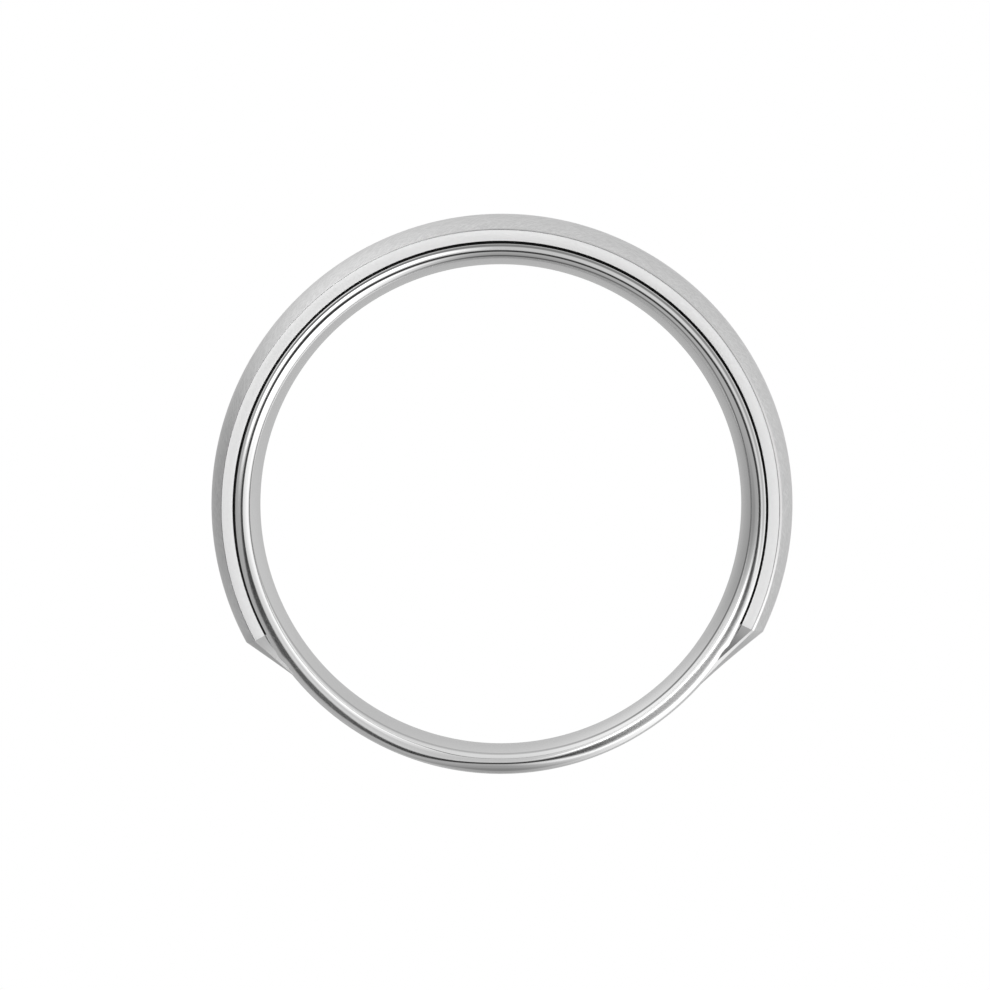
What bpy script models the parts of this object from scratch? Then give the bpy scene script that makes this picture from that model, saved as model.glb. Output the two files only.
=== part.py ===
"""Wedding band: a full inner band that carries a raised, brushed saddle.

The saddle is a crown plate with two flat side rails under its edges and a
ramped shoulder at each end.  It lies in a shallow seat turned into the inner
band's outside, and it leaves the lowest part of the band bare as the shank.

The finger hole's centre is the origin, half way through the ring's width.
The finger goes through along Y, the front side faces -Y, and the middle of
the saddle is at +Z.  Angles are counted from +Z towards +X.  Lengths are in
metres.
"""

import math

import bmesh
import bpy

MM = 0.001

# Inner band
FINGER_HOLE_DIAMETER = 19.84 * MM
SHANK_THICKNESS = 1.20 * MM
BAND_WIDTH = 6.0 * MM  # over the rails' flat side faces, which are the widest part
SIDE_RECESS = 0.02 * MM  # how far the inner band's edge stands back from the rails
COMFORT_RADIUS = 11.0 * MM  # the bore's convex profile across its width
OUTER_DOME_RADIUS = 20.0 * MM  # the shank's convex profile across its width
EDGE_ROUNDING = 0.25 * MM
EDGE_CREST_SHARE = 0.47  # where the rounded edge is widest, from the bore outwards

# Saddle
SEAT_DEPTH = 0.14 * MM
SEAT_GAP = 0.04 * MM
RAIL_HEIGHT = 0.46 * MM
RAIL_WIDTH = 0.8 * MM
RAIL_CHAMFER = 0.02 * MM
CROWN_EDGE_HEIGHT = 0.04 * MM
CROWN_RISE = 0.47 * MM  # from the crown plate's edge to its middle
JOINT_GAP = 0.02 * MM

# Lengths round the ring
SADDLE_HALF_ANGLE = math.radians(117.5)  # the crown plate and the rails, each side of the top
SHOULDER_ANGLE = math.radians(12.5)
SEAT_WALL_ANGLE = math.radians(0.2)
TOE_EDGE_HEIGHT = 0.02 * MM  # left at a shoulder's low end, where it meets the shank

# Flats that stand in for the round shapes, round the ring and along its sections
SADDLE_SPANS = 94
SHOULDER_SPANS = 5
SHANK_SPANS = 40
BORE_POINTS = 6
DOME_POINTS = 6
EDGE_POINTS = 5
CROWN_POINTS = 10

BORE_RADIUS = FINGER_HOLE_DIAMETER / 2
SHANK_RADIUS = BORE_RADIUS + SHANK_THICKNESS
SEAT_RADIUS = SHANK_RADIUS - SEAT_DEPTH
SADDLE_UNDERSIDE = SEAT_RADIUS + SEAT_GAP
RAIL_TOP = SADDLE_UNDERSIDE + RAIL_HEIGHT
CROWN_LIP = RAIL_TOP + JOINT_GAP
CROWN_EDGE = CROWN_LIP + CROWN_EDGE_HEIGHT
CROWN_TOP = CROWN_EDGE + CROWN_RISE
HALF_WIDTH = BAND_WIDTH / 2
INNER_BAND_HALF_WIDTH = HALF_WIDTH - SIDE_RECESS
RAIL_INSIDE = HALF_WIDTH - RAIL_WIDTH
SEAT_END = SADDLE_HALF_ANGLE + SHOULDER_ANGLE

POLISHED = ("polished_metal", (0.80, 0.80, 0.80, 1.0), 0.12)
SATIN = ("satin_metal", (0.78, 0.78, 0.78, 1.0), 0.30)
BRUSHED = ("brushed_metal", (0.66, 0.66, 0.66, 1.0), 0.42)


def clear_scene():
    for obj in list(bpy.data.objects):
        bpy.data.objects.remove(obj, do_unlink=True)


def metal(finish):
    """The Principled material of one finish, made once."""
    name, colour, roughness = finish
    material = bpy.data.materials.get(name)
    if material is None:
        material = bpy.data.materials.new(name)
        material.use_nodes = True
        shader = material.node_tree.nodes["Principled BSDF"]
        shader.inputs["Base Color"].default_value = colour
        shader.inputs["Metallic"].default_value = 1.0
        shader.inputs["Roughness"].default_value = roughness
        material.diffuse_color = colour
    return material


def at_angle(angle, section):
    """A section's (y, radius) corners as points in space, in the half-plane at this angle."""
    across = math.sin(angle)
    up = math.cos(angle)
    return [(radius * across, y, radius * up) for y, radius in section]


def lofted(name, rows, finish, closed):
    """One solid through rows of corners.  A closed loft meets itself; an open one gets end faces."""
    count = len(rows[0])
    corners = [corner for row in rows for corner in row]
    spans = len(rows) if closed else len(rows) - 1
    faces = []
    for i in range(spans):
        here = i * count
        there = (i + 1) % len(rows) * count
        for k in range(count):
            following = (k + 1) % count
            faces.append((here + k, here + following, there + following, there + k))
    if not closed:
        faces.append(tuple(range(count)))
        faces.append(tuple(reversed(range(len(corners) - count, len(corners)))))
    mesh = bpy.data.meshes.new(name)
    mesh.from_pydata(corners, [], faces)
    shape = bmesh.new()
    shape.from_mesh(mesh)
    bmesh.ops.recalc_face_normals(shape, faces=shape.faces)
    shape.to_mesh(mesh)
    shape.free()
    mesh.materials.append(metal(finish))
    mesh.shade_smooth()
    mesh.set_sharp_from_angle(angle=math.radians(30))
    obj = bpy.data.objects.new(name, mesh)
    bpy.context.scene.collection.objects.link(obj)
    return obj


def curve_points(start, control, end, count):
    """Points on a corner's curve, which leaves start towards control and reaches end from it."""
    points = []
    for i in range(count + 1):
        t = i / count
        points.append(
            tuple(
                (1 - t) ** 2 * a + 2 * t * (1 - t) * b + t**2 * c
                for a, b, c in zip(start, control, end)
            )
        )
    return points


def inner_band_edge():
    """The rounded edge on the +Y side, from the bore to the outside, as (y, radius)."""
    start_y = INNER_BAND_HALF_WIDTH - EDGE_ROUNDING
    bore_slope = start_y / math.sqrt(COMFORT_RADIUS**2 - start_y**2)
    dome_slope = start_y / math.sqrt(OUTER_DOME_RADIUS**2 - start_y**2)
    bore_end = (start_y, bore_profile(start_y))
    dome_end = (start_y, dome_profile(start_y))
    low = bore_end[1] + bore_slope * EDGE_ROUNDING
    high = dome_end[1] - dome_slope * EDGE_ROUNDING
    crest = (INNER_BAND_HALF_WIDTH, low + (high - low) * EDGE_CREST_SHARE)
    inside = curve_points(bore_end, (INNER_BAND_HALF_WIDTH, low), crest, EDGE_POINTS)
    outside = curve_points(crest, (INNER_BAND_HALF_WIDTH, high), dome_end, EDGE_POINTS)
    return inside + outside[1:]


def bore_profile(y):
    """The bore's radius at this place across the width: least in the middle."""
    return BORE_RADIUS + COMFORT_RADIUS - math.sqrt(COMFORT_RADIUS**2 - y**2)


def dome_profile(y):
    """The shank's outer radius at this place across the width: largest in the middle."""
    return SHANK_RADIUS - OUTER_DOME_RADIUS + math.sqrt(OUTER_DOME_RADIUS**2 - y**2)


def inner_band_section(largest_radius):
    """The inner band's section, cut down to a radius where the seat needs it."""
    edge = inner_band_edge()
    start_y = edge[0][0]
    bore = []
    for i in range(1, BORE_POINTS):
        y = -start_y + 2 * start_y * i / BORE_POINTS
        bore.append((y, bore_profile(y)))
    dome = []
    for i in range(1, DOME_POINTS):
        y = start_y - 2 * start_y * i / DOME_POINTS
        dome.append((y, dome_profile(y)))
    other_edge = [(-y, radius) for y, radius in reversed(edge)]
    section = bore + edge + dome + other_edge
    return [(y, min(radius, largest_radius)) for y, radius in section]


def even_steps(first, last, spans):
    """Angles or distances from first to last, both included."""
    return [first + (last - first) * i / spans for i in range(spans + 1)]


def saddle_angles():
    return even_steps(-SADDLE_HALF_ANGLE, SADDLE_HALF_ANGLE, SADDLE_SPANS)


def shoulder_angles():
    return even_steps(SADDLE_HALF_ANGLE, SEAT_END, SHOULDER_SPANS)


def build_inner_band():
    """The full band, with the shallow seat for the saddle round all but its lowest part."""
    bare = inner_band_section(SHANK_RADIUS)
    seated = inner_band_section(SEAT_RADIUS)
    beyond_saddle = shoulder_angles()[1:]
    seat = [-angle for angle in reversed(beyond_saddle)] + saddle_angles() + beyond_saddle
    shank_start = SEAT_END + SEAT_WALL_ANGLE
    shank = even_steps(shank_start, 2 * math.pi - shank_start, SHANK_SPANS)
    rows = [at_angle(angle, seated) for angle in seat]
    rows += [at_angle(angle, bare) for angle in shank]
    lofted("inner_band", rows, POLISHED, closed=True)


def crown_dome(half_width, edge_radius, top_radius):
    """The convex outside from +Y to -Y, as (y, radius), with both edges included."""
    rise = top_radius - edge_radius
    curve_radius = (half_width**2 + rise**2) / (2 * rise)
    points = []
    for i in range(CROWN_POINTS + 1):
        y = half_width - 2 * half_width * i / CROWN_POINTS
        points.append((y, top_radius - curve_radius + math.sqrt(curve_radius**2 - y**2)))
    return points


def build_crown_plate():
    """The brushed plate: a domed top with a tongue between the rails, down to the seat."""
    tongue = RAIL_INSIDE - JOINT_GAP
    section = [
        (-HALF_WIDTH, CROWN_LIP),
        (-tongue, CROWN_LIP),
        (-tongue, SADDLE_UNDERSIDE),
        (tongue, SADDLE_UNDERSIDE),
        (tongue, CROWN_LIP),
        (HALF_WIDTH, CROWN_LIP),
    ]
    section += crown_dome(HALF_WIDTH, CROWN_EDGE, CROWN_TOP)
    rows = [at_angle(angle, section) for angle in saddle_angles()]
    lofted("crown_plate", rows, BRUSHED, closed=False)


def build_rail(name, side):
    """A flat strip under one edge of the crown plate, on the side -1 (front) or 1 (rear)."""
    outside = side * HALF_WIDTH
    chamfered = side * (HALF_WIDTH - RAIL_CHAMFER)
    inside = side * RAIL_INSIDE
    section = [
        (inside, SADDLE_UNDERSIDE),
        (chamfered, SADDLE_UNDERSIDE),
        (outside, SADDLE_UNDERSIDE + RAIL_CHAMFER),
        (outside, RAIL_TOP - RAIL_CHAMFER),
        (chamfered, RAIL_TOP),
        (inside, RAIL_TOP),
    ]
    rows = [at_angle(angle, section) for angle in saddle_angles()]
    lofted(name, rows, SATIN, closed=False)


def crossing(start, end, angle):
    """The point where the straight line from start to end crosses the half-plane at this angle."""
    facing = (math.cos(angle), -math.sin(angle))
    at_start = start[0] * facing[0] + start[2] * facing[1]
    at_end = end[0] * facing[0] + end[2] * facing[1]
    share = at_start / (at_start - at_end)
    return tuple(a + (b - a) * share for a, b in zip(start, end))


def toe_dome():
    """The shank's own convex outside, as far across as it stands above the saddle's underside."""
    drop = SHANK_RADIUS - SADDLE_UNDERSIDE - TOE_EDGE_HEIGHT
    half_width = math.sqrt(drop * (2 * OUTER_DOME_RADIUS - drop))
    return [(y, dome_profile(y)) for y in even_steps(half_width, -half_width, CROWN_POINTS)]


def build_shoulder(name, side):
    """A ramp from the saddle's end down to the shank, on the side -1 (left) or 1 (right)."""
    gap_angle = JOINT_GAP / SADDLE_UNDERSIDE
    first = SADDLE_HALF_ANGLE + gap_angle
    last = SEAT_END - gap_angle
    high = crown_dome(HALF_WIDTH, CROWN_EDGE, CROWN_TOP)
    low = toe_dome()
    tops = list(zip(at_angle(side * first, high), at_angle(side * last, low)))
    rows = []
    for angle in [first] + shoulder_angles()[1:-1] + [last]:
        top = [crossing(start, end, side * angle) for start, end in tops]
        half_width = top[0][1]
        underside = [(-half_width, SADDLE_UNDERSIDE), (half_width, SADDLE_UNDERSIDE)]
        rows.append(at_angle(side * angle, underside) + top)
    lofted(name, rows, BRUSHED, closed=False)


def main():
    clear_scene()
    build_inner_band()
    build_crown_plate()
    build_rail("front_rail", -1)
    build_rail("rear_rail", 1)
    build_shoulder("left_shoulder", -1)
    build_shoulder("right_shoulder", 1)


main()
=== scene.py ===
import math

import bmesh
import bpy
from bpy.props import FloatProperty, FloatVectorProperty, IntProperty, PointerProperty
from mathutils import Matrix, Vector


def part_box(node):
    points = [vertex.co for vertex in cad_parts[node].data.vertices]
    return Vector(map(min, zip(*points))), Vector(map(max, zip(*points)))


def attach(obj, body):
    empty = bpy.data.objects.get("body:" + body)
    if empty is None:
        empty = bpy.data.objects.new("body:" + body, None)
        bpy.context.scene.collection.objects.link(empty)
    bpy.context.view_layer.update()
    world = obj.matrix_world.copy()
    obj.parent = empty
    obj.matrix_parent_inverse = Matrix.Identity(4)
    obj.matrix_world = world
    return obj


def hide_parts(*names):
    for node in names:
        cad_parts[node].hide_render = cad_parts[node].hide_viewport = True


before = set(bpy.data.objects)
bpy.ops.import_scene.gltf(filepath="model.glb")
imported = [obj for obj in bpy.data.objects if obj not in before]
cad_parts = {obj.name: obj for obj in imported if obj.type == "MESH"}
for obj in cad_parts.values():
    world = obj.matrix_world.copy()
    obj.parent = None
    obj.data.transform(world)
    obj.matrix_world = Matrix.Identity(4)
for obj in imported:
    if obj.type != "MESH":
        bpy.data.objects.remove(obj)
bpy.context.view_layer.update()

bl_info = {
    "name": "Saddle Wedding Band",
    "version": (1, 0, 0),
    "blender": (4, 5, 0),
    "location": "View3D > Sidebar > Wedding Band",
    "description": "Builds a wedding band with a brushed saddle over a polished inner band",
    "category": "Object",
}

MM = 0.001

# Sizes read from the frame
BAND_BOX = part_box("inner_band")
CROWN_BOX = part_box("crown_plate")
RAIL_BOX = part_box("front_rail")
SHANK_RADIUS = -BAND_BOX[0].z
BAND_HALF_WIDTH = BAND_BOX[1].y
CROWN_RADIUS = CROWN_BOX[1].z
SADDLE_HALF_WIDTH = CROWN_BOX[1].y
RAIL_TOP = RAIL_BOX[1].z
RAIL_WIDTH = RAIL_BOX[1].y - RAIL_BOX[0].y

# Shape of the inner band's section
COMFORT_RADIUS = 11.0 * MM
SHANK_DOME_RADIUS = 20.0 * MM
SEAT_DEPTH = 0.14 * MM
NOSE_TOP = SHANK_RADIUS - SEAT_DEPTH + 0.028 * MM
SADDLE_UNDERSIDE = SHANK_RADIUS - SEAT_DEPTH + 0.044 * MM

# Evenly spread round the ring, from the bottom by way of the left, the top and the right: how far
# hand polishing moved the edge's crest outwards, in millimetres, and how much it flattened it.
CREST_DRIFT = (-0.09, 0.10, 0.08, 0.06, 0.03, 0.02, 0.02, 0.0,
               0.0, 0.0, 0.01, 0.03, 0.05, 0.05, -0.01, -0.04)
CREST_FLATNESS = (0.05, 0.3, 0.42, 0.35, 0.1, 0.1, 0.2, 0.15,
                  0.1, 0.1, 0.1, 0.1, 0.05, 0.3, 0.48, 0.42)
# Radius at which the bore's satin ends, in millimetres, how dark the painted shade line there is, how dark
# the painted reflection line is just under the saddle, and how rough the polish is.
SATIN_END = (10.18, 10.21, 10.33, 10.37, 10.41, 10.46, 10.33, 10.21)
SATIN_END_SHADE_LINE = (0.4, 0.35, 0.45, 0.05, 0.6, 0.6, 0.6, 0.95)
PAINTED_REFLECTION_LINE = (0.0, 0.0, 0.0, 1.0, 0.65, 0.65, 0.35, 0.0)
POLISH_ROUGHNESS = (0.08, 0.17, 0.11, 0.06, 0.07, 0.07, 0.1, 0.3)

# Where a finish, or painted light and shade, fades into the next, as (none of it, all of it): radii and
# places across the width in millimetres, and turns in radians from the top, below 0 on the left.
SATIN_FADE = (0.01, -0.01)
STRIP_RADIUS = (10.86, 10.90)
STRIP_EDGE = (2.84, 2.74)
SADDLE_LEFT, SADDLE_RIGHT = (-2.20, -2.17), (2.15, 2.12)
SHADE_LEFT, SHADE_RIGHT = (-2.13, -2.09), (2.11, 2.07)
# The seat's and the crevice's fades place painted shade along the seam under the rails.
SEAT_SHADE = (11.002, 11.007)
CREVICE_PAINTED_SHADE = (11.026, 11.024)
FACET_TIP_PAINTED_LEFT, FACET_TIP_PAINTED_RIGHT = (-2.07, -2.20), (2.0, 2.13)
RAMP_SHADE_TURNS = (2.0, 2.1)
SATIN_LINE_HALF_WIDTH = 0.04
REFLECTION_LINE_RADIUS, REFLECTION_LINE_HALF_WIDTH = 10.835, 0.07
# Painted shade: near-black tone laid on the seat under the saddle and at the rails' foot, where the seam
# lies in shade.
PAINTED_SEAM_SHADE_TONE = (0.02, 0.02, 0.02, 1.0)
# Painted shade and painted reflection: the dark tone of the two painted lines beside the polish.
PAINTED_LINE_TONE = (0.06, 0.06, 0.06, 1.0)


# ------------------------------------------------------------------ settings


class BandSizes(bpy.types.PropertyGroup):
    """Sizes of the ring's own shapes."""

    hole_diameter: FloatProperty(
        name="Finger Hole", description="Bore across its narrowest part",
        default=19.88 * MM, min=0.012, unit="LENGTH", precision=5)
    edge_rounding: FloatProperty(
        name="Edge Rounding", description="How far in the bore and the outside round over",
        default=0.25 * MM, unit="LENGTH", precision=5)
    left_end: FloatProperty(
        name="Left End", description="Where the saddle ends on the left, from the top",
        default=math.radians(118.4), subtype="ANGLE")
    right_end: FloatProperty(
        name="Right End", description="Where the saddle ends on the right, from the top",
        default=math.radians(115.8), subtype="ANGLE")
    left_toe: FloatProperty(
        name="Left Toe", description="Where the left ramp meets the shank, from the top",
        default=math.radians(129.0), subtype="ANGLE")
    right_toe: FloatProperty(
        name="Right Toe", description="Where the right ramp meets the shank, from the top",
        default=math.radians(131.5), subtype="ANGLE")
    left_tip: FloatProperty(
        name="Left Facet Tip", description="Where the left side facet runs out, from the top",
        default=math.radians(126.4), subtype="ANGLE")
    right_tip: FloatProperty(
        name="Right Facet Tip", description="Where the right side facet runs out, from the top",
        default=math.radians(123.2), subtype="ANGLE")
    right_hollow: FloatProperty(
        name="Right Hollow", description="How far polishing hollowed the right ramp",
        default=0.03 * MM, unit="LENGTH", precision=5)
    crown_offset: FloatProperty(
        name="Crown Offset", description="How far hand finishing left the crown off centre, to the right",
        default=0.05 * MM, unit="LENGTH", precision=5)
    bevel: FloatProperty(
        name="Crown Bevel", description="Polished bevel along the crown plate's edge",
        default=0.05 * MM, unit="LENGTH", precision=5)
    rail_edge: FloatProperty(
        name="Rail Edge", description="Polished edge round a rail's flat face",
        default=0.012 * MM, unit="LENGTH", precision=5)
    steps: IntProperty(
        name="Steps", description="Flats in a whole turn", default=480, min=90, max=900)


class Finishes(bpy.types.PropertyGroup):
    """Tones and gloss of the metal's finishes."""

    polished: FloatVectorProperty(
        name="Polished", description="Tone of the polished edges", subtype="COLOR",
        default=(0.87, 0.87, 0.87), min=0, max=1)
    bore: FloatVectorProperty(
        name="Bore", description="Tone of the satin bore", subtype="COLOR",
        default=(0.70, 0.70, 0.70), min=0, max=1)
    satin: FloatVectorProperty(
        name="Satin", description="Tone of the rails' flat faces", subtype="COLOR",
        default=(0.97, 0.97, 0.97), min=0, max=1)
    # Painted shade: the facets' satin is a darker copy of the rails' satin.
    facet: FloatVectorProperty(
        name="Facet", description="Tone of the shoulders' side facets", subtype="COLOR",
        default=(0.60, 0.60, 0.60), min=0, max=1)
    brushed: FloatVectorProperty(
        name="Brushed", description="Tone of the brushed outside", subtype="COLOR",
        default=(0.74, 0.74, 0.74), min=0, max=1)
    polished_roughness: FloatProperty(
        name="Polished Roughness", description="Gloss of the polished edges",
        default=0.07, min=0, max=1, subtype="FACTOR")
    satin_roughness: FloatProperty(
        name="Satin Roughness", description="Gloss of the satin faces",
        default=0.48, min=0, max=1, subtype="FACTOR")
    brushed_roughness: FloatProperty(
        name="Brushed Roughness", description="Gloss of the brushed outside",
        default=0.36, min=0, max=1, subtype="FACTOR")


class Studio(bpy.types.PropertyGroup):
    """The stage, its soft light and the camera."""

    camera_azimuth: FloatProperty(
        name="Camera Azimuth", description="Camera's turn round the ring",
        default=math.radians(0.3), subtype="ANGLE")
    camera_elevation: FloatProperty(
        name="Camera Elevation", description="Camera's height above the horizon",
        default=math.radians(3.4), subtype="ANGLE")
    camera_distance: FloatProperty(
        name="Camera Distance", description="From the lens to the point it looks at",
        default=0.6, unit="LENGTH")
    field_width: FloatProperty(
        name="Field Width", description="Width that the picture takes in at the ring",
        default=40.93 * MM, unit="LENGTH", precision=5)
    aim: FloatVectorProperty(
        name="Aim", description="Point that the camera looks at", subtype="TRANSLATION",
        default=(-0.238 * MM, 0.0, 0.382 * MM), precision=6)
    floor_size: FloatProperty(
        name="Floor Size", description="Width of the plain floor", default=4.0, unit="LENGTH")


# ------------------------------------------------------------ node helpers


def add_node(tree, kind, feeds=None, **settings):
    """A node with its settings, and its inputs set to a value or joined to another socket."""
    made = tree.nodes.new(kind)
    for name, value in settings.items():
        setattr(made, name, value)
    for name, value in (feeds or {}).items():
        if isinstance(value, bpy.types.NodeSocket):
            tree.links.new(value, made.inputs[name])
        else:
            made.inputs[name].default_value = value
    return made


def maths(tree, operation, *values):
    """The result of a Math node on values or sockets."""
    feeds = dict(enumerate(values))
    return add_node(tree, "ShaderNodeMath", feeds, operation=operation).outputs[0]


def ramp_between(tree, value, low, high):
    """0 below low, 1 above high, and a smooth change between them."""
    feeds = {"Value": value, "From Min": low, "From Max": high}
    made = add_node(tree, "ShaderNodeMapRange", feeds, interpolation_type="SMOOTHSTEP")
    return made.outputs["Result"]


def blend_values(tree, factor, first, second):
    feeds = {"Factor": factor, 2: first, 3: second}
    return add_node(tree, "ShaderNodeMix", feeds, data_type="FLOAT").outputs[0]


def blend_tones(tree, factor, first, second):
    feeds = {"Factor": factor, 6: first, 7: second}
    return add_node(tree, "ShaderNodeMix", feeds, data_type="RGBA").outputs[2]


def round_the_ring(tree, turn, values):
    """The value at this turn, 0 to 1 from the bottom, of evenly spread values that fade together."""
    ramp = add_node(tree, "ShaderNodeValToRGB", {"Fac": turn})
    stops = ramp.color_ramp.elements
    looped = list(values) + [values[0]]
    ramp.color_ramp.interpolation = "EASE"
    stops[0].position, stops[-1].position = 0.0, 1.0
    for i in range(1, len(looped) - 1):
        stops.new(i / (len(looped) - 1))
    for stop, value in zip(stops, looped):
        stop.color = (value, value, value, 1.0)
    return ramp.outputs["Color"]


def new_group(name, inputs, outputs, kind="ShaderNodeTree"):
    """An empty node group with named sockets: (tree, its input node, its output node)."""
    tree = bpy.data.node_groups.new(name, kind)
    for socket_name, socket_type, default in inputs:
        socket = tree.interface.new_socket(socket_name, in_out="INPUT", socket_type=socket_type)
        if default is not None:
            socket.default_value = default
    for socket_name, socket_type in outputs:
        tree.interface.new_socket(socket_name, in_out="OUTPUT", socket_type=socket_type)
    return tree, tree.nodes.new("NodeGroupInput"), tree.nodes.new("NodeGroupOutput")


def use_group(tree, group, feeds):
    node = tree.nodes.new(tree.bl_idname.replace("NodeTree", "NodeGroup"))
    node.node_tree = group
    for name, value in feeds.items():
        if isinstance(value, bpy.types.NodeSocket):
            tree.links.new(value, node.inputs[name])
        else:
            node.inputs[name].default_value = value
    return node


# ------------------------------------------------------------ finish groups

FLOAT = "NodeSocketFloat"
VECTOR = "NodeSocketVector"


def ring_place_group():
    """Where a point is on the ring: its radius and its place across the width, in millimetres."""
    name = "ring_place"
    if name in bpy.data.node_groups:
        return bpy.data.node_groups[name]
    tree, given, made = new_group(
        name, [("Vector", VECTOR, None)], [("Radius", FLOAT), ("Across", FLOAT), ("Turn", FLOAT)])
    parts = add_node(tree, "ShaderNodeSeparateXYZ", {0: given.outputs["Vector"]})
    x, y, z = parts.outputs
    squares = maths(tree, "ADD", maths(tree, "MULTIPLY", x, x), maths(tree, "MULTIPLY", z, z))
    radius = maths(tree, "MULTIPLY", maths(tree, "SQRT", squares), 1 / MM)
    across = maths(tree, "MULTIPLY", y, 1 / MM)
    tree.links.new(radius, made.inputs["Radius"])
    tree.links.new(across, made.inputs["Across"])
    tree.links.new(maths(tree, "ARCTAN2", x, z), made.inputs["Turn"])
    return tree


def brushed_grain_group():
    """Fine straight lines that cross the ring's outside on a slant."""
    name = "brushed_grain"
    if name in bpy.data.node_groups:
        return bpy.data.node_groups[name]
    tree, given, made = new_group(
        name,
        [("Vector", VECTOR, None), ("Slant", FLOAT, 0.09), ("Fineness", FLOAT, 16.0),
         ("Line Length", FLOAT, 0.05)],
        [("Height", FLOAT), ("Patches", FLOAT)])
    place = use_group(tree, ring_place_group(), {"Vector": given.outputs["Vector"]})
    twist = maths(tree, "MULTIPLY", place.outputs["Across"], given.outputs["Slant"])
    turned = maths(tree, "ADD", place.outputs["Turn"], twist)
    along = maths(tree, "MULTIPLY", place.outputs["Across"], given.outputs["Line Length"])
    radius = place.outputs["Radius"]
    spot = add_node(tree, "ShaderNodeCombineXYZ", {
        0: maths(tree, "MULTIPLY", radius, maths(tree, "SINE", turned)),
        1: along,
        2: maths(tree, "MULTIPLY", radius, maths(tree, "COSINE", turned))})
    lines = add_node(tree, "ShaderNodeTexNoise", {
        "Vector": spot.outputs[0], "Scale": given.outputs["Fineness"],
        "Detail": 3.0, "Roughness": 0.65})
    patches = add_node(tree, "ShaderNodeTexNoise", {
        "Vector": spot.outputs[0], "Scale": 1.3, "Detail": 3.0, "Roughness": 0.6})
    tree.links.new(lines.outputs[0], made.inputs["Height"])
    tree.links.new(patches.outputs[0], made.inputs["Patches"])
    return tree


def fine_wear_group():
    """Faint smudges and hairline marks that a worn, wiped ring carries."""
    name = "fine_wear"
    if name in bpy.data.node_groups:
        return bpy.data.node_groups[name]
    tree, given, made = new_group(
        name,
        [("Vector", VECTOR, None), ("Smudge Size", FLOAT, 0.6), ("Mark Fineness", FLOAT, 9.0)],
        [("Smudges", FLOAT), ("Marks", FLOAT)])
    scaled = add_node(tree, "ShaderNodeVectorMath", {
        0: given.outputs["Vector"], "Scale": 1 / MM}, operation="SCALE")
    smudges = add_node(tree, "ShaderNodeTexNoise", {
        "Vector": scaled.outputs[0], "Scale": given.outputs["Smudge Size"], "Detail": 4.0})
    marks = add_node(tree, "ShaderNodeTexNoise", {
        "Vector": scaled.outputs[0], "Scale": given.outputs["Mark Fineness"],
        "Detail": 5.0, "Distortion": 1.5})
    sharp = ramp_between(tree, marks.outputs[0], 0.55, 0.75)
    tree.links.new(smudges.outputs[0], made.inputs["Smudges"])
    tree.links.new(sharp, made.inputs["Marks"])
    return tree


def start_material(name):
    """(material, its tree, its Principled shader, Object coordinates)."""
    material = bpy.data.materials.new(name)
    material.use_nodes = True
    tree = material.node_tree
    shader = tree.nodes["Principled BSDF"]
    shader.inputs["Metallic"].default_value = 1.0
    place = tree.nodes.new("ShaderNodeTexCoord").outputs["Object"]
    return material, tree, shader, place


def lift(tree, shader, height, depth):
    """Raises the surface by a height map, to this depth in metres."""
    bump = add_node(tree, "ShaderNodeBump", {"Height": height, "Distance": depth, "Strength": 1.0})
    tree.links.new(bump.outputs[0], shader.inputs["Normal"])


def polished_metal():
    """Bright polish with a few hairline marks."""
    name = "polished_white_metal"
    if name in bpy.data.materials:
        return bpy.data.materials[name]
    finish = bpy.context.scene.ring_finishes
    material, tree, shader, place = start_material(name)
    wear = use_group(tree, fine_wear_group(), {"Vector": place})
    tone = tuple(finish.polished) + (1.0,)
    darker = tuple(0.93 * share for share in finish.polished) + (1.0,)
    tone = blend_tones(tree, wear.outputs["Smudges"], tone, darker)
    tree.links.new(tone, shader.inputs["Base Color"])
    gloss = finish.polished_roughness
    rough = blend_values(tree, wear.outputs["Marks"], gloss, gloss + 0.06)
    tree.links.new(rough, shader.inputs["Roughness"])
    return material


def thin_line(tree, distance, half_width, depth):
    """A fine line where the distance is 0, of this half width and depth, fading on both sides."""
    near = ramp_between(tree, maths(tree, "ABSOLUTE", distance), half_width, 0.35 * half_width)
    return maths(tree, "MULTIPLY", near, depth)


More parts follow.
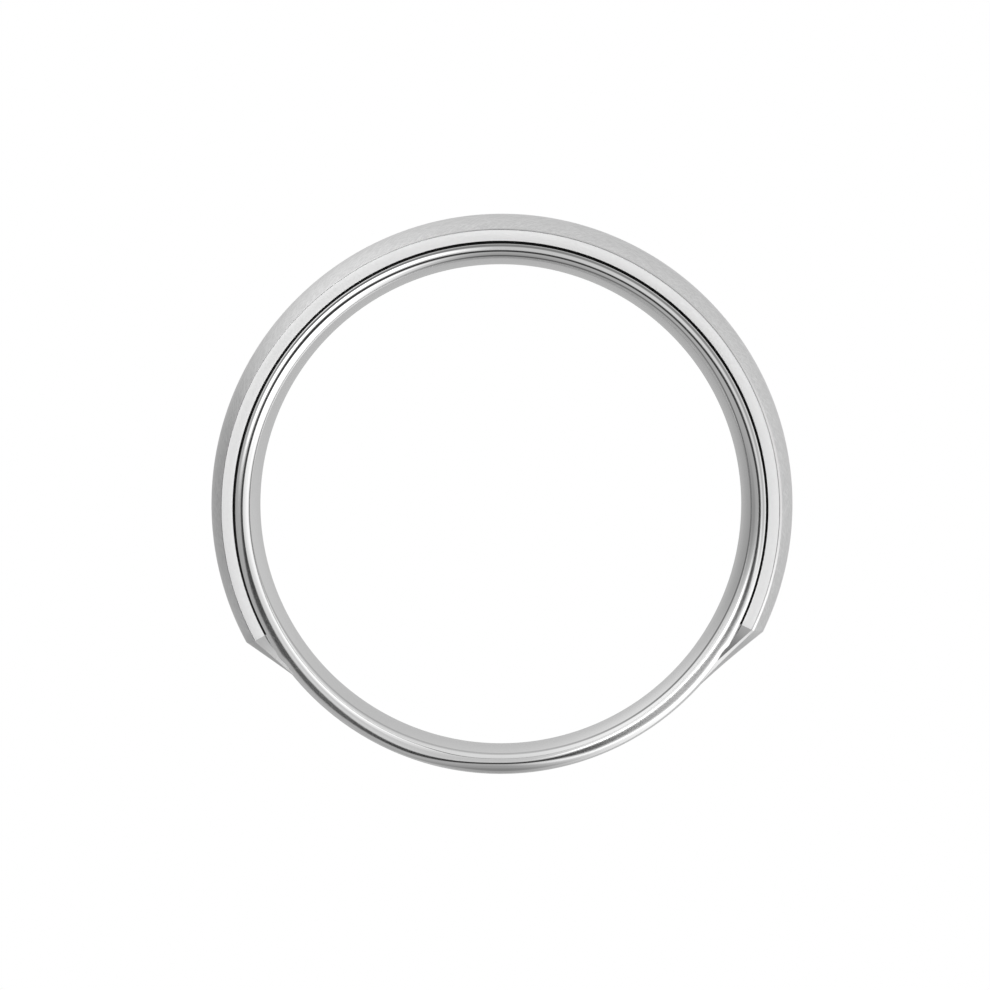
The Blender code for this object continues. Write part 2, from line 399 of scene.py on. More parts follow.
def inner_band_metal():
    """Polished edges, a satin bore, a brushed strip round the shank, painted shade on the seat and painted
    dark lines.
    """
    name = "inner_band_metal"
    if name in bpy.data.materials:
        return bpy.data.materials[name]
    finish = bpy.context.scene.ring_finishes
    material, tree, shader, place = start_material(name)
    where = use_group(tree, ring_place_group(), {"Vector": place})
    wear = use_group(tree, fine_wear_group(), {"Vector": place})
    grain = use_group(tree, brushed_grain_group(), {"Vector": place, "Slant": 0.16})
    bore_grain = use_group(tree, brushed_grain_group(), {
        "Vector": place, "Slant": 0.02, "Fineness": 9.0, "Line Length": 0.3})
    radius = where.outputs["Radius"]
    offside = maths(tree, "ABSOLUTE", where.outputs["Across"])
    turn = where.outputs["Turn"]
    way_round = maths(tree, "ADD", maths(tree, "DIVIDE", turn, 2 * math.pi), 0.5)
    past_end = maths(tree, "SUBTRACT", radius, round_the_ring(tree, way_round, SATIN_END))
    bore = ramp_between(tree, past_end, *SATIN_FADE)
    # Painted shade: a fine dark line where the bore's satin meets the polish.
    line = thin_line(
        tree, past_end, SATIN_LINE_HALF_WIDTH, round_the_ring(tree, way_round, SATIN_END_SHADE_LINE))
    outside = ramp_between(tree, radius, *STRIP_RADIUS)
    strip = maths(tree, "MULTIPLY", ramp_between(tree, offside, *STRIP_EDGE), outside)
    saddle = maths(tree, "MULTIPLY", ramp_between(tree, turn, *SADDLE_LEFT),
                   ramp_between(tree, turn, *SADDLE_RIGHT))
    strip = maths(tree, "MULTIPLY", strip, maths(tree, "SUBTRACT", 1.0, saddle))
    shade = maths(tree, "MULTIPLY", ramp_between(tree, turn, *SHADE_LEFT),
                  ramp_between(tree, turn, *SHADE_RIGHT))
    # Painted shade on the seat under the saddle, so that the seam beside the rails shows black.
    seat = maths(tree, "MULTIPLY", ramp_between(tree, radius, *SEAT_SHADE), shade)
    tone = blend_tones(tree, bore, tuple(finish.polished) + (1.0,), tuple(finish.bore) + (1.0,))
    # Painted reflection: a fine dark line on the polished nose just under the saddle.
    step = thin_line(tree, maths(tree, "SUBTRACT", radius, REFLECTION_LINE_RADIUS), REFLECTION_LINE_HALF_WIDTH,
                     round_the_ring(tree, way_round, PAINTED_REFLECTION_LINE))
    dark = maths(tree, "MAXIMUM", line, maths(tree, "MULTIPLY", step, saddle))
    tone = blend_tones(tree, dark, tone, PAINTED_LINE_TONE)
    tone = blend_tones(tree, strip, tone, tuple(finish.brushed) + (1.0,))
    tone = blend_tones(tree, seat, tone, PAINTED_SEAM_SHADE_TONE)
    tree.links.new(tone, shader.inputs["Base Color"])
    marks = maths(tree, "MULTIPLY", wear.outputs["Marks"], 0.05)
    rough = maths(tree, "ADD", round_the_ring(tree, way_round, POLISH_ROUGHNESS), marks)
    rough = blend_values(tree, bore, rough, 0.24)
    rough = blend_values(tree, strip, rough, finish.brushed_roughness)
    tree.links.new(rough, shader.inputs["Roughness"])
    height = blend_values(tree, bore, 0.5, bore_grain.outputs["Height"])
    height = blend_values(tree, strip, height, grain.outputs["Height"])
    lift(tree, shader, height, 1.5e-6)
    return material


def satin_metal():
    """The rails' fine satin."""
    return satin_finish("satin_white_metal", bpy.context.scene.ring_finishes.satin, None)


def facet_metal():
    """The shoulders' side facets: satin with painted shade, painted light at the left tip and deepest
    painted shade at the right one.
    """
    return satin_finish("facet_white_metal_painted_light_and_shade", bpy.context.scene.ring_finishes.facet, (1.25, 0.5))


def satin_finish(name, tone, tip_light_and_shade):
    """Satin of this tone. A facet's has painted light and shade towards its tip, and a rail's has painted
    shade at its foot.
    """
    if name in bpy.data.materials:
        return bpy.data.materials[name]
    finish = bpy.context.scene.ring_finishes
    material, tree, shader, place = start_material(name)
    grain = use_group(tree, brushed_grain_group(), {
        "Vector": place, "Slant": 0.4, "Fineness": 7.0, "Line Length": 1.0})
    where = use_group(tree, ring_place_group(), {"Vector": place})
    darker = tuple(0.93 * share for share in tone) + (1.0,)
    colour = blend_tones(tree, grain.outputs["Height"], tuple(tone) + (1.0,), darker)
    # Painted light towards the left tip and painted shade towards the right tip.
    if tip_light_and_shade:
        for share, fade in zip(tip_light_and_shade, (FACET_TIP_PAINTED_LEFT, FACET_TIP_PAINTED_RIGHT)):
            near_tip = ramp_between(tree, where.outputs["Turn"], *fade)
            painted_tip_tone = tuple(share * part for part in tone) + (1.0,)
            colour = blend_tones(tree, near_tip, colour, painted_tip_tone)
    else:
        # Painted shade at the rail's foot, in the crevice beside the seat.
        crevice_shade = ramp_between(tree, where.outputs["Radius"], *CREVICE_PAINTED_SHADE)
        colour = blend_tones(tree, crevice_shade, colour, PAINTED_SEAM_SHADE_TONE)
    tree.links.new(colour, shader.inputs["Base Color"])
    rough = blend_values(
        tree, grain.outputs["Patches"], finish.satin_roughness, finish.satin_roughness + 0.08)
    tree.links.new(rough, shader.inputs["Roughness"])
    lift(tree, shader, grain.outputs["Height"], 0.6e-6)
    return material


def brushed_metal():
    """The slanting brushed finish of the crown, and of the shoulders, where painted shade makes it darker.
    """
    name = "brushed_white_metal"
    if name in bpy.data.materials:
        return bpy.data.materials[name]
    finish = bpy.context.scene.ring_finishes
    material, tree, shader, place = start_material(name)
    one_way = use_group(tree, brushed_grain_group(), {"Vector": place, "Slant": 0.11})
    other_way = use_group(tree, brushed_grain_group(), {
        "Vector": place, "Slant": -0.05, "Fineness": 11.0})
    lines = maths(tree, "MAXIMUM", one_way.outputs["Height"], other_way.outputs["Height"])
    light = tuple(min(1.0, 1.09 * share) for share in finish.brushed) + (1.0,)
    dark = tuple(0.84 * share for share in finish.brushed) + (1.0,)
    tone = blend_tones(tree, ramp_between(tree, lines, 0.4, 0.7), dark, light)
    where = use_group(tree, ring_place_group(), {"Vector": place})
    # Painted shade: the shoulders' ramps get a darker copy of the brushed tone.
    ramps = ramp_between(tree, maths(tree, "ABSOLUTE", where.outputs["Turn"]), *RAMP_SHADE_TURNS)
    ramp_shade_tone = tuple(0.76 * share for share in finish.brushed) + (1.0,)
    tone = blend_tones(tree, ramps, tone, ramp_shade_tone)
    tree.links.new(tone, shader.inputs["Base Color"])
    rough = blend_values(tree, one_way.outputs["Patches"],
                         finish.brushed_roughness - 0.06, finish.brushed_roughness + 0.08)
    tree.links.new(rough, shader.inputs["Roughness"])
    lift(tree, shader, lines, 2.0e-6)
    return material


# ------------------------------------------------------------- swept pieces


def ring_parts(tree):
    """x, y, z, radius and angle from the top of the point that is being moved."""
    here = tree.nodes.new("GeometryNodeInputPosition").outputs[0]
    x, y, z = add_node(tree, "ShaderNodeSeparateXYZ", {0: here}).outputs
    squares = maths(tree, "ADD", maths(tree, "MULTIPLY", x, x), maths(tree, "MULTIPLY", z, z))
    return x, y, z, maths(tree, "SQRT", squares), maths(tree, "ARCTAN2", x, z)


def moved_to(tree, geometry, x, y, z, share, selection=True):
    """The geometry with its selected points at this y, and at this share of their radius."""
    spot = add_node(tree, "ShaderNodeCombineXYZ", {
        0: maths(tree, "MULTIPLY", x, share), 1: y, 2: maths(tree, "MULTIPLY", z, share)})
    return add_node(tree, "GeometryNodeSetPosition", {
        "Geometry": geometry.outputs[0], "Selection": selection, "Position": spot.outputs[0]})


def swept_section_tree():
    """Sweeps a section round the ring, and cuts a seat into it between two angles."""
    name = "swept_section"
    if name in bpy.data.node_groups:
        return bpy.data.node_groups[name]
    tree, given, made = new_group(
        name,
        [("Section", "NodeSocketGeometry", None), ("Path Radius", FLOAT, 0.011),
         ("Steps", "NodeSocketInt", 480), ("Whole Turn", "NodeSocketBool", True),
         ("First Angle", FLOAT, 0.0), ("Sweep", FLOAT, 2 * math.pi),
         ("Seat Radius", FLOAT, 1.0), ("Seat First", FLOAT, 0.0), ("Seat Last", FLOAT, 0.0),
         ("Lip From", FLOAT, 1.0), ("Lip Stretch", FLOAT, 1.0),
         ("Nose From", FLOAT, 1.0), ("Nose End", FLOAT, 2.0), ("Flat From", FLOAT, 1.0),
         ("Outside From", FLOAT, 1.0), ("Outside Lean", FLOAT, 0.0),
         ("Material", "NodeSocketMaterial", None)],
        [("Mesh", "NodeSocketGeometry")], "GeometryNodeTree")
    get = given.outputs
    section = add_node(tree, "GeometryNodeMeshToCurve", {"Mesh": get["Section"]})
    arc = add_node(tree, "GeometryNodeCurveArc", {
        "Resolution": get["Steps"], "Radius": get["Path Radius"],
        "Start Angle": get["First Angle"], "Sweep Angle": get["Sweep"]}, mode="RADIUS")
    circle = add_node(tree, "GeometryNodeCurvePrimitiveCircle", {
        "Resolution": get["Steps"], "Radius": get["Path Radius"]}, mode="RADIUS")
    path = add_node(tree, "GeometryNodeSwitch", {
        "Switch": get["Whole Turn"], "False": arc.outputs[0], "True": circle.outputs[0]},
        input_type="GEOMETRY")
    swept = add_node(tree, "GeometryNodeCurveToMesh", {
        "Curve": path.outputs[0], "Profile Curve": section.outputs[0], "Fill Caps": True})
    lying = add_node(tree, "ShaderNodeSeparateXYZ", {
        0: tree.nodes.new("GeometryNodeInputPosition").outputs[0]})
    up, right, across = lying.outputs
    stood = add_node(tree, "ShaderNodeCombineXYZ", {0: right, 1: across, 2: up})
    standing = add_node(tree, "GeometryNodeSetPosition", {
        "Geometry": swept.outputs[0], "Position": stood.outputs[0]})
    # The nose: its crest moves in or out and flattens as it goes round.
    x, y, z, radius, angle = ring_parts(tree)
    turn = maths(tree, "ADD", maths(tree, "DIVIDE", angle, 2 * math.pi), 0.5)
    offside = maths(tree, "ABSOLUTE", y)
    # A table holds no value below 0, so the drift goes through it with 0.5 added.
    raised = round_the_ring(tree, turn, [0.5 + drift for drift in CREST_DRIFT])
    drift = maths(tree, "MULTIPLY", maths(tree, "SUBTRACT", raised, 0.5), MM)
    drift = maths(tree, "MULTIPLY", drift,
                  ramp_between(tree, offside, get["Nose From"], get["Nose End"]))
    over = maths(tree, "MAXIMUM", 0.0, maths(tree, "SUBTRACT", offside, get["Flat From"]))
    room = maths(tree, "SUBTRACT", get["Nose End"], get["Flat From"])
    sunk = maths(tree, "DIVIDE", maths(tree, "MULTIPLY", over, over), room)
    sunk = maths(tree, "MULTIPLY", sunk, round_the_ring(tree, turn, CREST_FLATNESS))
    kept = maths(tree, "DIVIDE", maths(tree, "SUBTRACT", offside, sunk),
                 maths(tree, "MAXIMUM", offside, 1e-6))
    nose = moved_to(tree, standing, x, maths(tree, "MULTIPLY", y, kept), z,
                    maths(tree, "DIVIDE", maths(tree, "ADD", radius, drift), radius))
    # The seat: what is further out comes in to its radius, and the lip beside it stands up to it.
    x, y, z, radius, angle = ring_parts(tree)
    first, last = get["Seat First"], get["Seat Last"]
    fade = maths(tree, "MULTIPLY",
                 ramp_between(tree, angle, first, maths(tree, "ADD", first, 0.05)),
                 ramp_between(tree, angle, last, maths(tree, "SUBTRACT", last, 0.05)))
    above_lip = maths(tree, "MAXIMUM", 0.0, maths(tree, "SUBTRACT", radius, get["Lip From"]))
    stretch = maths(tree, "MULTIPLY", maths(tree, "SUBTRACT", get["Lip Stretch"], 1.0), fade)
    lifted = maths(tree, "ADD", radius, maths(tree, "MULTIPLY", above_lip, stretch))
    share = maths(tree, "DIVIDE", maths(tree, "MINIMUM", lifted, get["Seat Radius"]), radius)
    inside = add_node(tree, "FunctionNodeBooleanMath", {
        0: maths(tree, "GREATER_THAN", angle, first),
        1: maths(tree, "LESS_THAN", angle, last)}, operation="AND")
    seat = moved_to(tree, nose, x, y, z, share, inside.outputs[0])
    # The outside leans to one side, as hand finishing left it.
    x, y, z, radius, angle = ring_parts(tree)
    outside = add_node(tree, "FunctionNodeCompare", {0: radius, 1: get["Outside From"]},
                       data_type="FLOAT", operation="GREATER_THAN")
    lean = maths(tree, "DIVIDE", maths(tree, "MULTIPLY", get["Outside Lean"], x),
                 maths(tree, "MULTIPLY", radius, radius))
    lean = maths(tree, "ADD", 1.0, lean)
    moved = moved_to(tree, seat, x, y, z, lean, outside.outputs[0])
    real = add_node(tree, "GeometryNodeRealizeInstances", {"Geometry": moved.outputs[0]})
    painted = add_node(tree, "GeometryNodeSetMaterial", {
        "Geometry": real.outputs[0], "Material": get["Material"]})
    tree.links.new(painted.outputs[0], made.inputs["Mesh"])
    return tree


def face_out(mesh):
    """Turns every face outwards."""
    shape = bmesh.new()
    shape.from_mesh(mesh)
    bmesh.ops.recalc_face_normals(shape, faces=shape.faces)
    shape.to_mesh(mesh)
    shape.free()


def sharpen_between_finishes(mesh):
    """Keeps a crisp edge where one finish meets another."""
    shape = bmesh.new()
    shape.from_mesh(mesh)
    for edge in shape.edges:
        if len({face.material_index for face in edge.link_faces}) > 1:
            edge.smooth = False
    shape.to_mesh(mesh)
    shape.free()


def finish_piece(obj, slot, *nodes):
    """Smooths a finished piece and ties it to the ring in place of its plain nodes."""
    face_out(obj.data)
    obj.data.shade_smooth()
    obj.data.set_sharp_from_angle(angle=math.radians(32))
    sharpen_between_finishes(obj.data)
    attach(obj, "root")
    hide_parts(*nodes)
    return obj


def swept_piece(name, section, inputs, edge=0.0):
    """A plain mesh, swept round the ring from a section of (y, radius) corners."""
    path_radius = inputs["Path Radius"]
    wire = bpy.data.meshes.new(name + "_section")
    corners = [(radius - path_radius, -y, 0.0) for y, radius in section]
    wire.from_pydata(corners, [(i, (i + 1) % len(corners)) for i in range(len(corners))], [])
    guide = bpy.data.objects.new(name + "_section", wire)
    bpy.context.scene.collection.objects.link(guide)
    sweep = guide.modifiers.new("Sweep", "NODES")
    tree = swept_section_tree()
    sweep.node_group = tree
    for item in tree.interface.items_tree:
        if item.in_out == "INPUT" and item.name in inputs:
            sweep[item.identifier] = inputs[item.name]
    if edge:
        bevel = guide.modifiers.new("Edge", "BEVEL")
        bevel.width = edge
        bevel.segments = 3
        bevel.limit_method = "ANGLE"
        bevel.angle_limit = math.radians(40)
    graph = bpy.context.evaluated_depsgraph_get()
    mesh = bpy.data.meshes.new_from_object(guide.evaluated_get(graph), depsgraph=graph)
    guide.modifiers.clear()
    bpy.data.objects.remove(guide)
    bpy.data.meshes.remove(wire)
    mesh.name = name
    obj = bpy.data.objects.new(name, mesh)
    bpy.context.scene.collection.objects.link(obj)
    if not mesh.polygons:
        raise RuntimeError(f"{name} came out empty")
    return obj


# ----------------------------------------------------------- ring's sections


def quarter_round(start, corner, end, count):
    """Points on an elliptic quarter from start, bending at the corner, to end."""
    bend = 0.5523
    near = [a + (b - a) * bend for a, b in zip(start, corner)]
    far = [a + (b - a) * bend for a, b in zip(end, corner)]
    points = []
    for i in range(count + 1):
        t = i / count
        weights = ((1 - t) ** 3, 3 * t * (1 - t) ** 2, 3 * t**2 * (1 - t), t**3)
        points.append(tuple(
            sum(weight * value for weight, value in zip(weights, values))
            for values in zip(start, near, far, end)))
    return points


def evenly(first, last, spans):
    return [first + (last - first) * i / spans for i in range(spans + 1)]


def shank_dome(y):
    """The shank's outer radius at this place across the width."""
    return SHANK_RADIUS - SHANK_DOME_RADIUS + math.sqrt(SHANK_DOME_RADIUS**2 - y**2)


def bore_profile(y, hole_radius):
    return hole_radius + COMFORT_RADIUS - math.sqrt(COMFORT_RADIUS**2 - y**2)


def inner_band_section(sizes):
    """The full section, from the bore round the +Y edge and over the dome."""
    hole = sizes.hole_diameter / 2
    rounding = sizes.edge_rounding
    start = BAND_HALF_WIDTH - rounding
    bore_slope = start / math.sqrt(COMFORT_RADIUS**2 - start**2)
    dome_slope = start / math.sqrt(SHANK_DOME_RADIUS**2 - start**2)
    low = bore_profile(start, hole) + bore_slope * rounding
    high = shank_dome(start) - dome_slope * rounding
    crest = (BAND_HALF_WIDTH, low + (high - low) * 0.47)
    edge = quarter_round((start, bore_profile(start, hole)), (BAND_HALF_WIDTH, low), crest, 20)
    edge += quarter_round(crest, (BAND_HALF_WIDTH, high), (start, shank_dome(start)), 20)[1:]
    bore = [(y, bore_profile(y, hole)) for y in evenly(-start, start, 28)[1:-1]]
    dome = [(y, shank_dome(y)) for y in evenly(start, -start, 36)[1:-1]]
    return bore + edge + dome + [(-y, radius) for y, radius in reversed(edge)]


def crown_dome(half_width, edge_radius, top_radius, spans):
    """The convex outside from +Y to -Y, as (y, radius)."""
    rise = top_radius - edge_radius
    curve_radius = (half_width**2 + rise**2) / (2 * rise)
    return [(y, top_radius - curve_radius + math.sqrt(curve_radius**2 - y**2))
            for y in evenly(half_width, -half_width, spans)]


# ---------------------------------------------------------------- operators


class RingOperator:
    bl_options = {"REGISTER", "UNDO"}


class WEDDINGBAND_OT_inner_band(RingOperator, bpy.types.Operator):
    """Makes the inner band, with the shallow seat for the saddle turned into it"""

    bl_idname = "weddingband.inner_band"
    bl_label = "Inner Band"

    def execute(self, context):
        sizes = context.scene.ring_sizes
        obj = swept_piece("inner_band_polished", inner_band_section(sizes), {
            "Path Radius": SHANK_RADIUS, "Steps": sizes.steps, "Whole Turn": True,
            "Seat Radius": NOSE_TOP, "Lip From": 10.65 * MM, "Lip Stretch": 1.40,
            "Seat First": -sizes.left_tip, "Seat Last": sizes.right_tip,
            "Nose From": BAND_HALF_WIDTH - sizes.edge_rounding, "Nose End": BAND_HALF_WIDTH,
            "Flat From": BAND_HALF_WIDTH - 0.14 * MM, "Material": inner_band_metal()})
        finish_piece(obj, "polished_metal", "inner_band")
        return {"FINISHED"}


class WEDDINGBAND_OT_crown_plate(RingOperator, bpy.types.Operator):
    """Makes the brushed crown plate with its tongue between the rails"""

    bl_idname = "weddingband.crown_plate"
    bl_label = "Crown Plate"

    def execute(self, context):
        sizes = context.scene.ring_sizes
        underside = NOSE_TOP
        tongue = SADDLE_HALF_WIDTH - RAIL_WIDTH - 0.02 * MM
        lip = RAIL_TOP + 0.012 * MM
        bevel = sizes.bevel
        rim = SADDLE_HALF_WIDTH - 0.5 * bevel
        section = [(-SADDLE_HALF_WIDTH, lip + 0.01 * MM), (-SADDLE_HALF_WIDTH + 0.01 * MM, lip),
                   (-tongue, lip), (-tongue, underside), (tongue, underside), (tongue, lip),
                   (SADDLE_HALF_WIDTH - 0.01 * MM, lip), (SADDLE_HALF_WIDTH, lip + 0.01 * MM)]
        section += crown_dome(rim, lip + bevel, CROWN_RADIUS, 48)
        first = -sizes.left_end
        obj = swept_piece("crown_plate_brushed", section, {
            "Path Radius": RAIL_TOP, "Steps": int(sizes.steps * 0.65), "Whole Turn": False,
            "First Angle": first, "Sweep": sizes.right_end - first,
            "Outside From": lip + 0.9 * bevel, "Outside Lean": sizes.crown_offset,
            "Material": brushed_metal()})
        obj.data.materials.append(polished_metal())
        for face in obj.data.polygons:
            centre = face.center
            if abs(centre.y) > rim and math.hypot(centre.x, centre.z) > lip:
                face.material_index = 1
        finish_piece(obj, "brushed_metal", "crown_plate")
        return {"FINISHED"}


class WEDDINGBAND_OT_rails(RingOperator, bpy.types.Operator):
    """Makes the two flat side rails under the crown plate's edges"""

    bl_idname = "weddingband.rails"
    bl_label = "Side Rails"

    def execute(self, context):
        sizes = context.scene.ring_sizes
        underside = SADDLE_UNDERSIDE
        inside = SADDLE_HALF_WIDTH - RAIL_WIDTH
        first = -sizes.left_end
        for side, node in ((-1, "front_rail"), (1, "rear_rail")):
            section = [(side * inside, underside), (side * SADDLE_HALF_WIDTH, underside),
                       (side * SADDLE_HALF_WIDTH, RAIL_TOP), (side * inside, RAIL_TOP)]
            obj = swept_piece(node + "_satin", section, {
                "Path Radius": RAIL_TOP, "Steps": int(sizes.steps * 0.65), "Whole Turn": False,
                "First Angle": first, "Sweep": sizes.right_end - first,
                "Material": satin_metal()}, edge=sizes.rail_edge)
            obj.data.materials.append(polished_metal())
            for face in obj.data.polygons:
                if 0.05 < abs(face.normal.y) < 0.95:
                    face.material_index = 1
            finish_piece(obj, "satin_metal", node)
        return {"FINISHED"}


def at_angle(angle, corner):
    """A section's (y, radius) corner as a point, in the half-plane at this angle from the top."""
    y, radius = corner
    return (radius * math.sin(angle), y, radius * math.cos(angle))


def straight_between(start, end, angle):
    """(y, radius) where the straight line through start and end crosses the half-plane at this angle."""
    facing = (math.cos(angle), -math.sin(angle))
    at_start = start[0] * facing[0] + start[2] * facing[1]
    at_end = end[0] * facing[0] + end[2] * facing[1]
    share = at_start / (at_start - at_end)
    x, y, z = (a + (b - a) * share for a, b in zip(start, end))
    return (y, math.hypot(x, z))


class WEDDINGBAND_OT_shoulders(RingOperator, bpy.types.Operator):
    """Makes the two ramps from the saddle's ends down to the shank"""

    bl_idname = "weddingband.shoulders"
    bl_label = "Shoulders"

    def execute(self, context):
        sizes = context.scene.ring_sizes
        self.shoulder("left_shoulder", -1, sizes.left_end, sizes.left_tip, sizes.left_toe,
                      2.3 * MM, 0.0)
        self.shoulder("right_shoulder", 1, sizes.right_end, sizes.right_tip, sizes.right_toe,
                      2.50 * MM, sizes.right_hollow)
        return {"FINISHED"}

    def shoulder(self, node, side, end, tip, toe, toe_half_width, hollow):
        """Rows of corners from the saddle's end to the toe, each from one facet's foot to the other's."""
        sizes = bpy.context.scene.ring_sizes
        lip = RAIL_TOP + 0.012 * MM
        rim = SADDLE_HALF_WIDTH - 0.5 * sizes.bevel
        lean = sizes.crown_offset * math.sin(side * end)
        high = crown_dome(rim, lip + sizes.bevel, CROWN_RADIUS, 40)
        high = [at_angle(side * end, (y, radius + lean)) for y, radius in high]
        low = [at_angle(side * toe, (y, shank_dome(y)))
               for y in evenly(toe_half_width, -toe_half_width, 40)]
        facet_top = at_angle(side * end, (SADDLE_HALF_WIDTH, lip))
        facet_tip = at_angle(side * tip, (SADDLE_HALF_WIDTH - 0.2 * MM, NOSE_TOP + 0.01 * MM))
        rows = []
        for angle in evenly(end, toe, 36):
            worn = hollow * math.sin(math.pi * (angle - end) / (toe - end))
            top = [straight_between(a, b, side * angle) for a, b in zip(high, low)]
            top = [(y, radius - worn) for y, radius in top]
            y, radius = straight_between(facet_top, facet_tip, side * angle)
            closed = min(1.0, (angle - end) / (tip - end))
            foot = min(SADDLE_UNDERSIDE - 0.18 * MM * closed**2, radius - 0.02 * MM)
            row = [(y, foot), (y, radius)] + top + [(-y, radius), (-y, foot)]
            rows.append([at_angle(side * angle, corner) for corner in row])
        count = len(rows[0])
        faces, finishes = [], []
        for i in range(len(rows) - 1):
            for k in range(count):
                following = (k + 1) % count
                this, after = i * count, (i + 1) * count
                faces.append((this + k, this + following, after + following, after + k))
                finishes.append({0: 1, count - 2: 1, 1: 2, count - 3: 2}.get(k, 0))
        corners = [corner for row in rows for corner in row]
        faces.append(tuple(range(count)))
        faces.append(tuple(reversed(range(len(corners) - count, len(corners)))))
        mesh = bpy.data.meshes.new(node + "_ramp")
        mesh.from_pydata(corners, [], faces)
        for material in (brushed_metal(), facet_metal(), polished_metal()):
            mesh.materials.append(material)
        for face, finish in zip(mesh.polygons, finishes):
            face.material_index = finish
        obj = bpy.data.objects.new(node + "_ramp", mesh)
        bpy.context.scene.collection.objects.link(obj)
        finish_piece(obj, "brushed_metal", node)


# ------------------------------------------------------------------- stage

# Brightness of the studio's panels, by where they stand round the ring as seen from the front,
# from the bottom by way of the left, the top and the right. NEAR is next to the line of sight,
# BACK behind the ring, and KEY adds to NEAR.
NEAR_PANELS = (0.42, 0.46, 0.40, 1.15, 0.60, 0.73, 0.75, 1.20)
KEY_PANELS = (0.0, 0.0, 0.0, 2.60, 0.0, 0.0, 0.0, 1.00)
FRONT_PANELS = (0.35, 0.45, 0.40, 1.10, 0.60, 0.64, 0.95, 1.40)
SIDE_PANELS = (0.25, 0.55, 0.30, 1.10, 0.60, 1.00, 1.10, 1.40)
RIM_PANELS = (0.40, 0.45, 0.33, 1.10, 0.65, 1.45, 0.95, 1.30)
BACK_PANELS = (0.58, 0.52, 0.39, 1.05, 0.80, 0.66, 0.74, 0.62)


def soft_studio(world):
    """Panels round the ring, white where the camera sees them."""
    world.use_nodes = True
    tree = world.node_tree
    tree.nodes.clear()
    way = tree.nodes.new("ShaderNodeTexCoord").outputs["Generated"]
    # The panels stand square to a line that runs a little down from the ring.
    square = add_node(tree, "ShaderNodeVectorRotate", {
        "Vector": way, "Angle": -bpy.context.scene.ring_studio.camera_elevation}, rotation_type="X_AXIS")
    x, y, z = add_node(tree, "ShaderNodeSeparateXYZ", {0: square.outputs[0]}).outputs
    off_axis = maths(tree, "ARCCOSINE", maths(tree, "MULTIPLY", y, -1.0))
    off_axis = maths(tree, "MULTIPLY", off_axis, 180 / math.pi)
    turn = maths(tree, "ADD", maths(tree, "DIVIDE", maths(tree, "ARCTAN2", x, z), 2 * math.pi), 0.5)
    key = maths(tree, "MULTIPLY", ramp_between(tree, off_axis, 13.0, 17.0),
                round_the_ring(tree, turn, KEY_PANELS))
    light = maths(tree, "ADD", round_the_ring(tree, turn, NEAR_PANELS), key)
    for inner, outer, panels in ((26.0, 36.0, FRONT_PANELS), (46.0, 60.0, SIDE_PANELS),
                                 (72.0, 84.0, RIM_PANELS), (118.0, 138.0, BACK_PANELS)):
        light = blend_values(tree, ramp_between(tree, off_axis, inner, outer), light,
                             round_the_ring(tree, turn, panels))
    light = blend_values(tree, ramp_between(tree, off_axis, 148.0, 172.0), light, 0.60)
    light = blend_values(tree, ramp_between(tree, off_axis, 12.0, 7.0), light, 0.04)
    seen = tree.nodes.new("ShaderNodeLightPath").outputs["Is Camera Ray"]
    strength = blend_values(tree, seen, light, 1.0)
    background = add_node(tree, "ShaderNodeBackground", {"Color": (1, 1, 1, 1), "Strength": strength})
    out = tree.nodes.new("ShaderNodeOutputWorld")
    tree.links.new(background.outputs[0], out.inputs["Surface"])


def floor_finish():
    """Plain white for the camera, pale and matt for everything else."""
    material = bpy.data.materials.new("plain_floor")
    material.use_nodes = True
    tree = material.node_tree
    tree.nodes.clear()
    matt = add_node(tree, "ShaderNodeBsdfDiffuse", {"Color": (0.8, 0.8, 0.8, 1)})
    bright = add_node(tree, "ShaderNodeEmission", {"Color": (1, 1, 1, 1), "Strength": 1.0})
    seen = tree.nodes.new("ShaderNodeLightPath").outputs["Is Camera Ray"]
    both = add_node(tree, "ShaderNodeMixShader", {0: seen, 1: matt.outputs[0], 2: bright.outputs[0]})
    out = tree.nodes.new("ShaderNodeOutputMaterial")
    tree.links.new(both.outputs[0], out.inputs["Surface"])
    return material


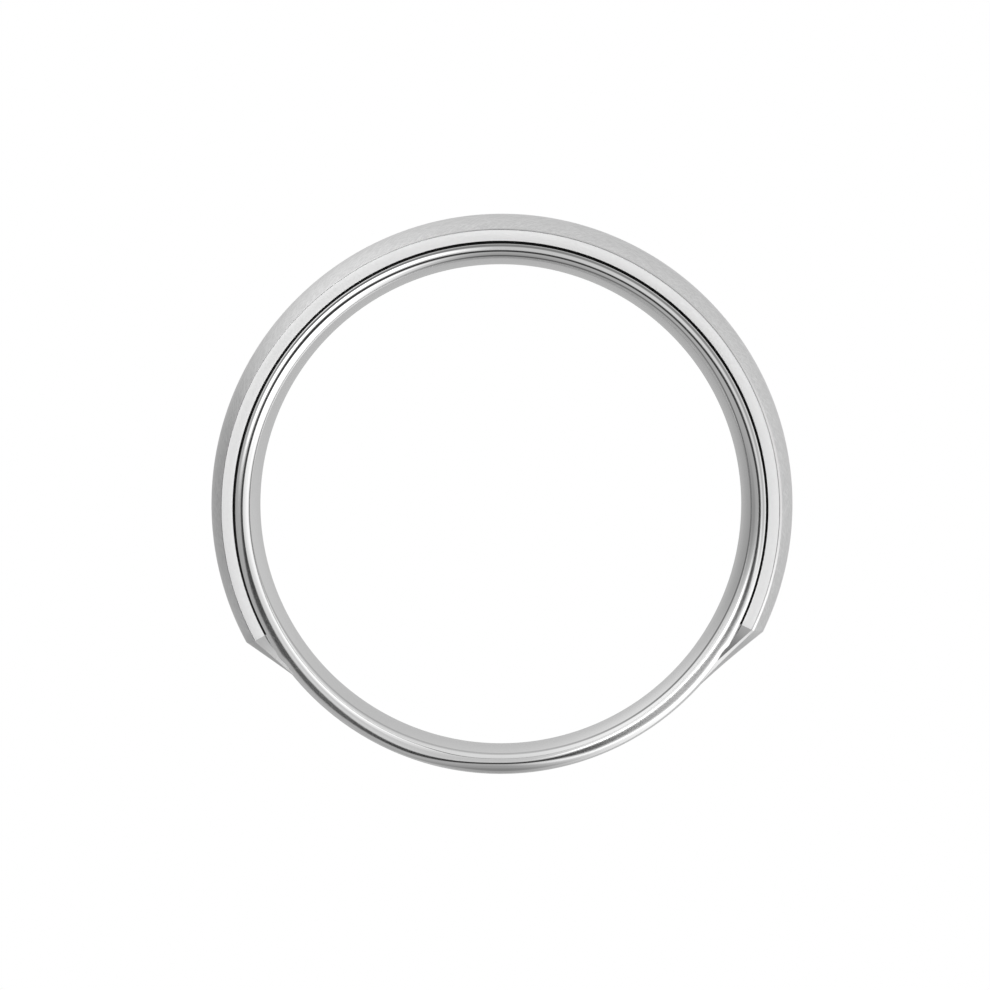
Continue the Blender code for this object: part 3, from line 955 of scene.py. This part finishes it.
class WEDDINGBAND_OT_studio(RingOperator, bpy.types.Operator):
    """Makes the floor, the soft studio light and the camera"""

    bl_idname = "weddingband.studio"
    bl_label = "Studio"

    def execute(self, context):
        scene = context.scene
        studio = scene.ring_studio
        half = studio.floor_size / 2
        level = -SHANK_RADIUS
        mesh = bpy.data.meshes.new("floor")
        mesh.from_pydata([(-half, -half, level), (half, -half, level), (half, half, level),
                          (-half, half, level)], [], [(0, 1, 2, 3)])
        mesh.materials.append(floor_finish())
        floor = bpy.data.objects.new("floor", mesh)
        scene.collection.objects.link(floor)
        floor.visible_glossy = False
        floor.visible_diffuse = False
        scene.world = bpy.data.worlds.new("soft_studio")
        soft_studio(scene.world)
        azimuth, elevation = studio.camera_azimuth, studio.camera_elevation
        back = Vector((math.sin(azimuth) * math.cos(elevation),
                       -math.cos(azimuth) * math.cos(elevation), math.sin(elevation)))
        data = bpy.data.cameras.new("camera")
        data.sensor_width = 36.0
        data.lens = data.sensor_width * studio.camera_distance / studio.field_width
        data.clip_start, data.clip_end = 0.01, 10.0
        camera = bpy.data.objects.new("camera", data)
        scene.collection.objects.link(camera)
        camera.location = Vector(studio.aim) + back * studio.camera_distance
        camera.rotation_mode = "QUATERNION"
        camera.rotation_quaternion = (-back).to_track_quat("-Z", "Y")
        scene.camera = camera
        scene.view_settings.view_transform = "Standard"
        return {"FINISHED"}


class WEDDINGBAND_PT_panel(bpy.types.Panel):
    """Lists the ring's settings and the steps that build it"""

    bl_label = "Wedding Band"
    bl_idname = "WEDDINGBAND_PT_panel"
    bl_space_type = "VIEW_3D"
    bl_region_type = "UI"
    bl_category = "Wedding Band"

    def draw(self, context):
        scene = context.scene
        for title, settings in (("Sizes", scene.ring_sizes), ("Finishes", scene.ring_finishes),
                                ("Studio", scene.ring_studio)):
            box = self.layout.box()
            box.label(text=title)
            for name in settings.__annotations__:
                box.prop(settings, name)
        for step in BUILD_STEPS:
            self.layout.operator(step.bl_idname)


BUILD_STEPS = (
    WEDDINGBAND_OT_inner_band,
    WEDDINGBAND_OT_crown_plate,
    WEDDINGBAND_OT_rails,
    WEDDINGBAND_OT_shoulders,
    WEDDINGBAND_OT_studio,
)
SETTINGS = {"ring_sizes": BandSizes, "ring_finishes": Finishes, "ring_studio": Studio}


def register():
    for settings in SETTINGS.values():
        bpy.utils.register_class(settings)
    for name, settings in SETTINGS.items():
        setattr(bpy.types.Scene, name, PointerProperty(type=settings))
    for step in BUILD_STEPS:
        bpy.utils.register_class(step)
    bpy.utils.register_class(WEDDINGBAND_PT_panel)


def unregister():
    bpy.utils.unregister_class(WEDDINGBAND_PT_panel)
    for step in reversed(BUILD_STEPS):
        bpy.utils.unregister_class(step)
    for name, settings in SETTINGS.items():
        delattr(bpy.types.Scene, name)
        bpy.utils.unregister_class(settings)


def main():
    register()
    bpy.ops.weddingband.inner_band()
    bpy.ops.weddingband.crown_plate()
    bpy.ops.weddingband.rails()
    bpy.ops.weddingband.shoulders()
    bpy.ops.weddingband.studio()
    bpy.context.view_layer.update()


if __name__ == "__main__":
    main()
